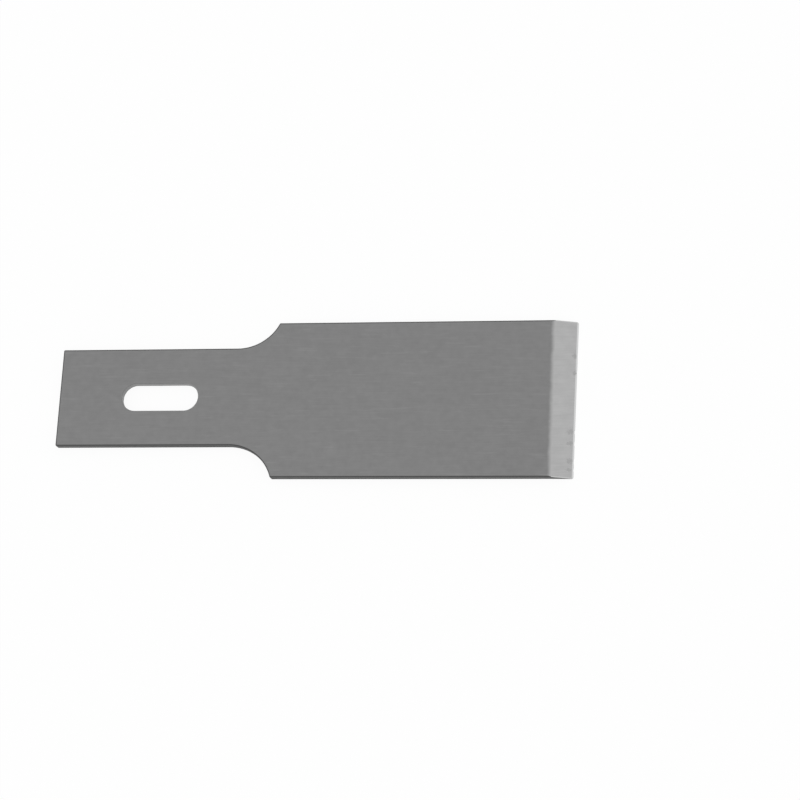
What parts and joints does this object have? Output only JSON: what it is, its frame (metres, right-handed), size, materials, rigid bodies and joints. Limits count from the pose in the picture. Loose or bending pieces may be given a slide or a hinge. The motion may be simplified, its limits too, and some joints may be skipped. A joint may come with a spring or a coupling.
{
  "type": "chisel knife blade",
  "caption": "Flat steel chisel blade with a square single-bevel cutting edge, concave shoulders and a narrow slotted tang that a knife handle grips.",
  "frame": {"origin": "middle of the slot in the tang, on the flat underside, with Z up out of the side that the bevel is ground on", "axes": "+Y along the tang's centre line to the cutting edge, +Z through the thickness, out of the bevelled side, +X across the blade"},
  "size_m": [0.0127, 0.0412, 0.0006],
  "materials": {
    "blade_steel": "hardened and tempered carbon steel strip, satin grey as rolled, with a brighter ground bevel"
  },
  "bodies": {
    "root": {"chisel_blade": "blade_steel"}
  },
  "joints": []
}
